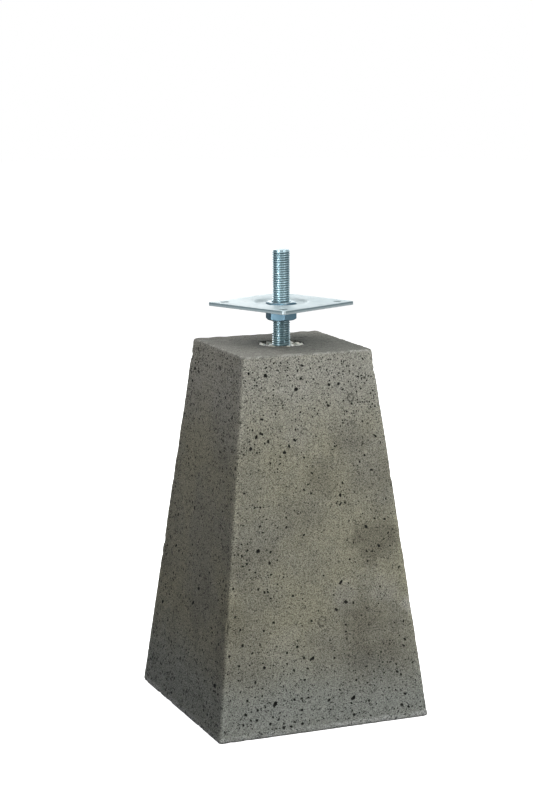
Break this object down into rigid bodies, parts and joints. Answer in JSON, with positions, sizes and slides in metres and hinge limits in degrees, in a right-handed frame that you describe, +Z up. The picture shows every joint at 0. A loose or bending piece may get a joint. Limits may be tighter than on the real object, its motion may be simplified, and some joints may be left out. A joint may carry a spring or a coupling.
{
  "type": "column base block",
  "caption": "Tapered concrete post base with a threaded rod in its top and a square screw-down plate that climbs the rod on a nut.",
  "frame": {"origin": "centre of the block's flat underside, where it stands on the ground", "axes": "+Z up along the threaded rod; -Y is the broad face that the picture shows, +X to its right. The plate is turned 24.5 degrees about +Z from the block's sides"},
  "size_m": [0.2442, 0.2442, 0.5018],
  "materials": {
    "concrete": "matte",
    "cream_plastic": "satin",
    "zinc_rod": "satin",
    "zinc_nut": "satin",
    "zinc_plate": "satin"
  },
  "bodies": {
    "base": {"concrete_block": "concrete", "socket": "cream_plastic", "threaded_rod": "zinc_rod"},
    "head": {"plate": "zinc_plate", "nut": "zinc_nut"}
  },
  "joints": [
    {"name": "plate_height", "type": "slide", "parent": "base", "child": "head", "axis": [0, 0, 1], "range_m": [-0.026, 0.055]}
  ]
}
